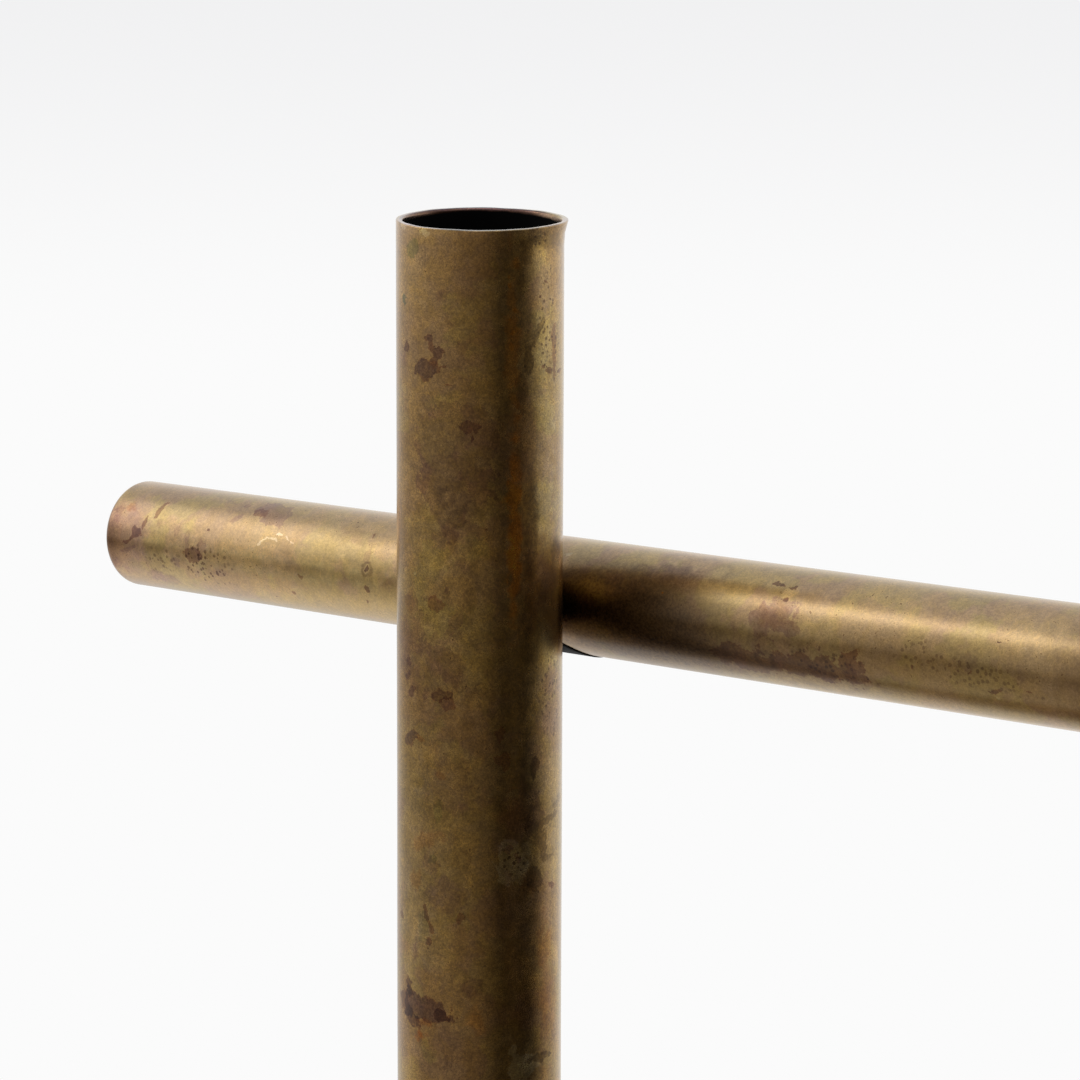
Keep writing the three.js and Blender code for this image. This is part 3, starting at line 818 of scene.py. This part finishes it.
def speck_dots(tree, place):
    """Round dark specks of mixed sizes, a little under a millimetre apart."""
    cells = tree.node("TexVoronoi", {"Vector": place, "Scale": SPECK_CELLS})
    size = tree.step(tree.split(cells.outputs["Color"])[0], *SPECK_PICK, *SPECK_SIZES)
    return tree.step(tree.math("SUBTRACT", cells.outputs["Distance"], size), *SPECK_EDGE)


def mark_shares(tree, spot, ragged, marks):
    """For each tone, how strongly its marks cover this spot. Ragged is how far their outlines stray.

    The turned marks, which have one value more, come last, because the results that wait for them take up
    the shader's memory.
    """
    shares = {}
    toned_marks = [(tone, *mark) for tone, group in marks.items() for mark in group]
    for tone, along, across, half_along, half_across, strength, *turn in sorted(toned_marks, key=len):
        distance = distance_to(tree, spot, along, across, half_along, half_across, *turn)
        size = max(LEAST_RAGGED, min(half_along, half_across))
        if tone not in SMOOTH_TONES:
            distance = tree.math("MULTIPLY_ADD", ragged, 1 / size, distance)
        soft = EDGE_SOFTNESS / size
        outer, inner = (SOFT_REACH, SOFT_TONES[tone]) if tone in SOFT_TONES else (1 + soft, 1 - soft)
        share = tree.step(distance, outer, inner, 0.0, strength)
        shares[tone] = share if tone not in shares else tree.math("MAXIMUM", shares[tone], share)
    return shares


def ring_shares(tree, spot, rings):
    """How strongly the thin dark rings cover this spot."""
    total = 0.0
    for along, across, radius, strength in rings:
        distance = distance_to(tree, spot, along, across, radius, radius)
        off = tree.math("ABSOLUTE", tree.math("SUBTRACT", distance, 1.0))
        total = tree.math("MAXIMUM", total, tree.step(off, *RING_WIDTH, 0.0, strength))
    return total


def below_rim(tree, place):
    """Millimetres below the post's leaning rim."""
    low_side = (math.cos(RIM_LOW_SIDE), math.sin(RIM_LOW_SIDE), 0)
    lean = tree.math("MULTIPLY", tree.vector("DOT_PRODUCT", place, low_side), RIM_LEAN)
    return tree.math("SUBTRACT", RIM_HEIGHT / MM, tree.math("ADD", tree.split(place)[2], lean))


def sideways(tree, place):
    """How far a place is to the side of the post as seen from its front, squared, from 0 to 1."""
    across = (-math.sin(FRONT_ANGLE) / POST_RADIUS * MM, math.cos(FRONT_ANGLE) / POST_RADIUS * MM, 0)
    share = tree.vector("DOT_PRODUCT", place, across)
    return tree.math("MULTIPLY", share, share)


def lip_tints_and_painted_light(tree, place, base):
    """The rim's cut edge, greyer than the tube, and its inner lip, purple. Both have painted light: darker
    on the near and far sides seen from the camera, lighter to the left and right.
    """
    side = sideways(tree, place)
    flat = tree.vector("LENGTH", tree.vector("MULTIPLY", place, (1, 1, 0)))
    depth = below_rim(tree, place)
    inner = tree.step(flat, BORE_EDGE / MM + INNER_LIP_REACH[0], BORE_EDGE / MM + INNER_LIP_REACH[1])
    inner_tint_and_painted_light = tree.mix(tree.step(side, *INNER_LIP_SIDES), INNER_LIP_FRONT_PURPLE_PAINTED_SHADE, INNER_LIP_SIDE_PURPLE_PAINTED_LIGHT)
    edge = tree.step(depth, *LIP_DEPTH)
    edge_tint_and_painted_light = tree.mix(tree.step(side, *LIP_SIDES), LIP_FRONT_GREY_PAINTED_SHADE, LIP_SIDE_GREY_PAINTED_LIGHT)
    base = tree.mix(edge, base, edge_tint_and_painted_light, "MULTIPLY")
    return tree.mix(inner, base, inner_tint_and_painted_light, "MULTIPLY")


def sooty_bore(tree, place, brass, mottles):
    """Soot inside the post's bore: matt black, thinning out just below the lip. To the left and right,
    seen from the camera, it starts lower, leaving a painted lit band of inner wall.
    """
    flat = tree.vector("LENGTH", tree.vector("MULTIPLY", place, (1, 1, 0)))
    inside = tree.step(flat, BORE_EDGE / MM, BORE_EDGE / MM - SOOT_INSIDE)
    depth = tree.math("MULTIPLY_ADD", sideways(tree, place), SOOT_SIDE_RISE, below_rim(tree, place))
    thick = tree.step(tree.math("MULTIPLY_ADD", mottles, SOOT_UNEVENNESS, depth), *SOOT_DEPTH)
    soot = tree.node("BsdfPrincipled", {
        "Base Color": tree.mix(mottles, *SOOT_COLOURS),
        "Roughness": 0.95,
        "Specular IOR Level": 0.08,
    })
    share = tree.math("MULTIPLY", inside, thick)
    return tree.node("MixShader", {0: share, 1: brass, 2: soot.outputs[0]}).outputs[0]


def brass_noises(tree, place):
    """The noise patterns that shape the brass's look, by name."""
    noises = {}
    for name, (offset, *settings) in BRASS_NOISE.items():
        start = tree.vector("ADD", place, offset) if any(offset) else place
        noises[name] = tree.noise(start, *settings)
    return noises


def patina(tree, noises, tones, contrast):
    """The brass's colour: clean, olive and brown zones, with freckles, tints and faint dried lines."""
    clean, olive, brown = tones
    base = tree.mix(tree.step(noises["zones"], *ZONE_RANGE), olive, brown)
    base = tree.mix(tree.step(noises["clouds"], *CLEAN_RANGE, 0.0, CLEAN_SHARE), base, clean)
    freckled = tree.mix(tree.step(noises["freckles"], *FRECKLE_RANGE), DARK_FRECKLE, LIGHT_FRECKLE)
    base = tree.mix(contrast, base, freckled, "MULTIPLY")
    tinted = tree.mix(tree.step(noises["blotches"], *TINT_RANGE), GOLDEN_TINT, MAUVE_TINT)
    base = tree.mix(contrast, base, tinted, "MULTIPLY")
    off = tree.math("ABSOLUTE", tree.math("SUBTRACT", noises["outlines"], NOISE_MIDDLE))
    line = tree.step(off, *LINE_RANGE, 0.0, LINE_SHARE * contrast)
    line = tree.math("MULTIPLY", line, tree.step(noises["clouds"], *LINE_CLOUDS))
    return tree.mix(line, base, DRIED_LINE, "MULTIPLY")


def unevenness(tree, noises, contrast):
    """How light or dark the brass is from place to place, about 1."""
    light = tree.step(noises["mottles"], *MOTTLE_RANGE, *MOTTLE_LIGHT)
    spread = GRAIN_SPREAD * contrast
    return tree.math("MULTIPLY", light, tree.step(noises["grain"], *GRAIN_RANGE, 1 - spread, 1 + spread))


def wandering(tree, place, unroll):
    """The unrolled place, moved a little by noise, so that the marks get natural outlines."""
    noise = tree.noise(place, WANDER_SIZE, detail=4, rough=0.6, output="Color")
    shift = tree.vector("SUBTRACT", noise, (NOISE_MIDDLE,) * 3)
    spot = tree.vector("ADD", unroll(tree, place), tree.vector("SCALE", shift, scale=WANDER))
    return tree.vector("MULTIPLY", spot, (1, 1, 0))


def ragged_outline(tree, noises):
    """How far the marks' outlines stray, in millimetres."""
    wide = tree.math("SUBTRACT", noises["outlines"], NOISE_MIDDLE)
    ragged = tree.math("MULTIPLY", wide, RAGGED_WIDTH)
    detail = tree.math("SUBTRACT", noises["freckles"], NOISE_MIDDLE)
    return tree.math("MULTIPLY_ADD", detail, RAGGED_DETAIL, ragged)


def aged_brass(name, tones, finish, contrast, unroll=None, marks=None, rings=()):
    """Satin brass with an olive and brown patina, fine freckles, stains and pits, and listed marks, some
    of which are painted shade, highlights and reflections.

    The finish is its lowest and highest roughness. The contrast of its freckles goes from 0 to 1.
    """
    material, tree, place = plain_tree(name)
    noises = brass_noises(tree, place)
    base = patina(tree, noises, tones, contrast)
    light = unevenness(tree, noises, contrast)
    cluster = tree.step(noises["clouds"], *DOT_CLOUDS)
    dots = tree.math("MULTIPLY", tree.step(noises["freckles"], *DOT_RANGE), cluster)
    rough = tree.step(noises["mottles"], *ROUGH_RANGE, *finish)

    if unroll:
        spot = wandering(tree, place, unroll)
        ragged = ragged_outline(tree, noises)
        patchy = tree.step(noises["freckles"], *PATCHY_RANGE, 1.0, PATCHY_SHARE)
        for tone, share in mark_shares(tree, spot, ragged, marks).items():
            if tone == "specks":
                dots = tree.math("MAXIMUM", dots, tree.math("MULTIPLY", share, speck_dots(tree, place)))
                continue
            base = tree.mix(tree.math("MULTIPLY", share, patchy), base, TONES[tone], "MULTIPLY")
            if tone in STAIN_TONES:
                rim = tree.math("MULTIPLY", share, tree.math("SUBTRACT", 1.0, share))
                rim = tree.math("MULTIPLY", rim, RED_RIM_SHARE)
                base = tree.mix(rim, base, RED_RIM, "MULTIPLY")
                rough = tree.blend(share, rough, STAIN_ROUGHNESS)
        dots = tree.math("MAXIMUM", dots, ring_shares(tree, spot, rings))

    base = tree.mix(tree.math("MULTIPLY", dots, DOT_SHARE), base, SPECK, "MULTIPLY")
    base = tree.vector("SCALE", base, scale=light)
    if unroll is unrolled_post:
        base = lip_tints_and_painted_light(tree, place, base)
    height = tree.math("MULTIPLY_ADD", noises["grain"], GRAIN_RELIEF, noises["freckles"])
    brass = tree.node("BsdfPrincipled", {
        "Base Color": base,
        "Metallic": 1.0,
        "Roughness": rough,
        "Coat Weight": LACQUER_WEIGHT,
        "Coat Roughness": LACQUER_ROUGHNESS,
        "Normal": tree.bump(height, depth=BRASS_RELIEF, strength=0.5),
    }).outputs[0]
    surface = sooty_bore(tree, place, brass, noises["mottles"]) if unroll is unrolled_post else brass
    tree.node("OutputMaterial", {"Surface": surface})
    return material


def plain_tree(name):
    """A new material, its node tree, and the place on its object in millimetres."""
    material = bpy.data.materials.new(name)
    material.use_nodes = True
    tree = Tree(material.node_tree)
    return material, tree, tree.vector("SCALE", tree.coordinates("Object"), scale=1 / MM)


def dark_brass():
    """Brass darkened by soot and age."""
    material, tree, place = plain_tree("dark_brass")
    clouds = tree.noise(place, size=5, detail=4, rough=0.6, bend=0.3)
    grain = tree.noise(place, size=0.4, detail=3)
    cloudy = tree.step(clouds, low=0.35, high=0.65)
    base = tree.mix(cloudy, colour(112, 90, 56), colour(66, 52, 36))
    normal = tree.bump(grain, depth=0.02, strength=0.5)
    tree.surface({
        "Base Color": base,
        "Metallic": 0.9,
        "Roughness": tree.step(clouds, *ROUGH_RANGE, at_low=0.42, at_high=0.62),
        "Normal": normal,
    })
    return material


def zinc_steel():
    """Zinc-plated steel with its faint crystal clouds."""
    material, tree, place = plain_tree("zinc_steel")
    crystal_size = 1.6
    crystals = tree.node("TexVoronoi", {"Vector": place, "Scale": 1 / crystal_size})
    clouds = tree.noise(place, size=1.5, detail=3)
    crystal = tree.split(crystals.outputs["Color"])[0]
    base = tree.mix(crystal, colour(166, 170, 174), colour(150, 154, 160))
    normal = tree.bump(clouds, depth=0.02, strength=0.4)
    tree.surface({
        "Base Color": base,
        "Metallic": 1.0,
        "Roughness": tree.step(clouds, *ROUGH_RANGE, at_low=0.32, at_high=0.46),
        "Normal": normal,
    })
    return material


def black_plastic():
    """Moulded black plastic with a fine satin grain and a little dust."""
    material, tree, place = plain_tree("black_plastic")
    grain = tree.noise(place, size=0.25, detail=3)
    dust = tree.noise(place, size=4, detail=4, rough=0.7)
    dusty = tree.step(dust, low=0.5, high=0.8, at_high=0.5)
    base = tree.mix(dusty, colour(9, 8, 11), colour(22, 20, 24))
    normal = tree.bump(grain, depth=0.03, strength=0.4)
    tree.surface({
        "Base Color": base,
        "Specular IOR Level": 0.12,
        "Roughness": tree.step(dust, *ROUGH_RANGE, at_low=0.55, at_high=0.7),
        "Normal": normal,
    })
    return material


def black_rubber():
    """Matt rubber sheet with a fine grain and a little dust."""
    material, tree, place = plain_tree("black_rubber")
    grain = tree.noise(place, size=0.5, detail=4, rough=0.7)
    dust = tree.noise(place, size=7, detail=4, rough=0.7)
    dusty = tree.step(dust, low=0.45, high=0.75, at_high=0.6)
    base = tree.mix(dusty, colour(28, 27, 26), colour(52, 50, 47))
    normal = tree.bump(grain, depth=0.08, strength=0.7)
    tree.surface({
        "Base Color": base,
        "Roughness": tree.step(grain, *ROUGH_RANGE, at_low=0.75, at_high=0.92),
        "Normal": normal,
    })
    return material


def finish_piece(piece, node, material):
    """Lets a piece stand for its node, with its own material."""
    piece.data.materials.clear()
    piece.data.materials.append(material)
    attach(piece, "root")
    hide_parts(node)


ZINC_NODES = (
    "joint_bolt", "post_saddle_washer", "bar_saddle_washer", "joint_lock_washer", "joint_nut",
    "base_screw",
)


def finish_solid(node, material):
    """Shows a hidden node's own solid, with its own material."""
    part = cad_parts[node]
    part.data.materials.clear()
    part.data.materials.append(material)


# Studio round the object: angle to the right of the camera, and the brightness there at the camera's
# level, a little below it and far below it
STUDIO_RING = [
    (-180, 1.0, 0.8, 0.72), (-132, 0.74, 0.34, 0.98), (-120, 0.7, 0.25, 0.93), (-105, 0.62, 0.21, 0.76),
    (-93, 0.55, 0.185, 0.54), (-85, 0.52, 0.175, 0.34), (-71, 0.48, 0.155, 0.42), (-52, 0.44, 0.13, 0.4),
    (-35, 0.35, 0.096, 0.35), (-18, 0.25, 0.08, 0.27), (-2, 0.2, 0.069, 0.22), (14, 0.13, 0.05, 0.1),
    (31, 0.04, 0.02, 0.025), (48, 0.06, 0.033, 0.04), (57, 0.065, 0.022, 0.03), (67, 0.11, 0.011, 0.02),
    (77, 0.36, 0.012, 0.02), (88, 0.82, 0.035, 0.05), (99, 0.94, 0.2, 0.22), (113, 0.82, 0.4, 0.4),
    (130, 0.85, 0.57, 0.55), (180, 1.0, 0.8, 0.72),
]
ROOM_ABOVE = 0.57, 0.6, 0.68, 1

# Parts of the studio that are dimmer than this level lose these shares of their green and blue
DIM_LEVEL = 0.55
DIM_GREEN, DIM_BLUE = 0.24, 0.5

# Heights in the studio, from -1 straight down to 1 straight up, over which one part turns into the next
LOWER_TO_LEVEL = -0.13, -0.05
LOWER_TO_FLOOR = -0.15, -0.5
LEVEL_TO_ROOM = 0.2, 0.7
UNDER_TO_FLOOR = -0.8, -0.66
UNDER_LEVEL = 0.82

# Background that the camera sees, and the heights over which it darkens a little
BACKGROUND = colour(251, 251, 251)
BACKGROUND_TOP = colour(240, 240, 241)
BACKGROUND_RISE = -0.11, 0.01

# Soft lamps: angle to the right of the camera, elevation, distance and size in metres, and level, where 1
# is as bright as white
LAMPS = {
    "left_window": (-105, 28, 0.9, (0.6, 0.56), 0.8),
    "high_window": (-88, 42, 0.9, (0.3, 0.26), 1.5),
    "overhead": (20, 86, 1.2, (0.6, 0.6), 2.0),
}

# Floor: the radii between which it fades away, and its own radius just beyond them
FLOOR_FADE = 0.16, 0.37
FLOOR_EDGE = 0.407
FLOOR_THICKNESS = 2 * MM
FLOOR_COLOUR = colour(254, 250, 243)


def make_ramp(tree, share, column):
    """A colour ramp over the studio ring's angles. Its dim parts are a little warmer."""
    ramp = tree.node("ValToRGB", {"Fac": share})
    stops = ramp.color_ramp.elements
    for i, row in enumerate(STUDIO_RING):
        level = row[column]
        dimness = max(0, 1 - level / DIM_LEVEL)
        position = row[0] / 360 + 0.5
        stop = stops[0] if i == 0 else stops.new(position)
        stop.position = position
        stop.color = level, level * (1 - DIM_GREEN * dimness), level * (1 - DIM_BLUE * dimness), 1
    stops.remove(stops[-1])
    return ramp.outputs[0]


def make_world():
    """White to the camera. The object reflects a white sweep behind it and a dimmer room in front."""
    world = bpy.data.worlds.new("studio")
    bpy.context.scene.world = world
    world.use_nodes = True
    tree = Tree(world.node_tree)
    direction = tree.coordinates("Generated")
    up = tree.split(direction)[2]
    front = (math.sin(CAMERA_AZIMUTH), -math.cos(CAMERA_AZIMUTH), 0)
    right = (math.cos(CAMERA_AZIMUTH), math.sin(CAMERA_AZIMUTH), 0)
    ahead = tree.vector("DOT_PRODUCT", direction, front)
    aside = tree.vector("DOT_PRODUCT", direction, right)
    share = tree.math("MULTIPLY_ADD", tree.math("ARCTAN2", aside, ahead), 1 / (2 * math.pi), 0.5)
    level_ring, lower_ring, floor_ring = [make_ramp(tree, share, column) for column in (1, 2, 3)]
    studio = tree.mix(tree.step(up, *LOWER_TO_LEVEL), lower_ring, level_ring)
    studio = tree.mix(tree.step(up, *LOWER_TO_FLOOR), studio, floor_ring)
    studio = tree.mix(tree.step(up, *LEVEL_TO_ROOM), studio, ROOM_ABOVE)
    studio = tree.vector("SCALE", studio, scale=tree.step(up, *UNDER_TO_FLOOR, UNDER_LEVEL, 1.0))
    white = tree.mix(tree.step(up, *BACKGROUND_RISE), BACKGROUND, BACKGROUND_TOP)
    seen = tree.node("LightPath", {}).outputs["Is Camera Ray"]
    background = tree.node("Background", {"Color": tree.mix(seen, studio, white), "Strength": 1.0})
    tree.node("OutputWorld", {"Surface": background.outputs[0]})


def soft_light(name, azimuth, elevation, distance, size, level):
    """A rectangular lamp aimed at the post at the bar's height, unseen by the camera."""
    angle = CAMERA_AZIMUTH + math.radians(azimuth)
    rise = math.radians(elevation)
    out = Vector((math.sin(angle) * math.cos(rise), -math.cos(angle) * math.cos(rise), math.sin(rise)))
    data = bpy.data.lights.new(name, "AREA")
    data.shape = "RECTANGLE"
    data.size, data.size_y = size
    data.energy = level * math.pi * size[0] * size[1]
    lamp = linked(bpy.data.objects.new(name, data))
    lamp.location = Vector((0, 0, BAR_HEIGHT)) + out * distance
    lamp.rotation_euler = (-out).to_track_quat("-Z", "Y").to_euler()
    lamp.visible_camera = False


def make_floor():
    """A pale round floor that fades into the white surroundings and isn't mirrored in the metal."""
    corners = (0, 0), (FLOOR_EDGE, 0), (FLOOR_EDGE, -FLOOR_THICKNESS), (0, -FLOOR_THICKNESS)
    floor = turned("floor", corners, SMALL_STEPS)
    material = bpy.data.materials.new("pale_floor")
    material.use_nodes = True
    tree = Tree(material.node_tree)
    place = tree.vector("MULTIPLY", tree.coordinates("Object"), (1, 1, 0))
    fade = tree.step(tree.vector("LENGTH", place), *FLOOR_FADE)
    hidden = tree.math("SUBTRACT", 1.0, tree.node("LightPath", {}).outputs["Is Camera Ray"])
    fade = tree.math("MAXIMUM", fade, hidden)
    surface = tree.node("BsdfDiffuse", {"Color": FLOOR_COLOUR})
    clear = tree.node("BsdfTransparent", {})
    faded = tree.node("MixShader", {0: fade, 1: surface.outputs[0], 2: clear.outputs[0]})
    tree.node("OutputMaterial", {"Surface": faded.outputs[0]})
    floor.data.materials.append(material)


def make_camera():
    """The camera at the photo's place, angle and lens."""
    data = bpy.data.cameras.new("camera")
    data.lens = CAMERA_LENS
    data.sensor_width = SENSOR_WIDTH
    data.clip_start, data.clip_end = CAMERA_CLIP
    camera = linked(bpy.data.objects.new("camera", data))
    aim = Matrix.Rotation(CAMERA_AZIMUTH, 4, "Z")
    tilt = Matrix.Rotation(math.pi / 2 - CAMERA_ELEVATION, 4, "X")
    roll = Matrix.Rotation(CAMERA_ROLL, 4, "Z")
    camera.matrix_world = Matrix.Translation(CAMERA_PLACE) @ aim @ tilt @ roll
    bpy.context.scene.camera = camera


make_camera()
make_world()
make_floor()
for lamp_name, lamp_values in LAMPS.items():
    soft_light(lamp_name, *lamp_values)

plug_brass = aged_brass("plug_brass", BAR_BRASS, finish=(0.32, 0.4), contrast=0.6)
base_brass = aged_brass("base_brass", BASE_BRASS, finish=(0.38, 0.5), contrast=0.7)
post_brass = aged_brass(
    "post_brass", POST_BRASS, finish=(0.22, 0.28), contrast=1.0,
    unroll=unrolled_post, marks=POST_MARKS, rings=POST_RINGS,
)
bar_brass = aged_brass(
    "bar_brass", BAR_BRASS, finish=(0.31, 0.36), contrast=0.55,
    unroll=unrolled_bar, marks=BAR_MARKS, rings=BAR_RINGS,
)
sooted_brass = dark_brass()
zinc = zinc_steel()

finish_piece(make_post(), "post_tube", post_brass)
finish_piece(make_bar(), "cross_bar", bar_brass)
for side in "left", "right":
    end_node = "bar_end_plug_" + side
    finish_piece(make_end_plug("bar_end_" + side, end_node), end_node, plug_brass)
finish_piece(make_plug(), "access_plug", black_plastic())

round_pieces = [
    ("round_base", "base_plate", plate_corners, "aged_brass", base_brass),
    ("rubber_pad", "base_pad", pad_corners, "black_rubber", black_rubber()),
    ("candle_cup", "candle_stop", cup_corners, "dark_brass", sooted_brass),
]
for piece_name, node, corners, slot, material in round_pieces:
    finish_piece(make_round(piece_name, node, corners), node, material)

finish_solid("foot_plug", sooted_brass)
for node in ZINC_NODES:
    finish_solid(node, zinc)

bpy.context.scene.view_settings.view_transform = "Standard"
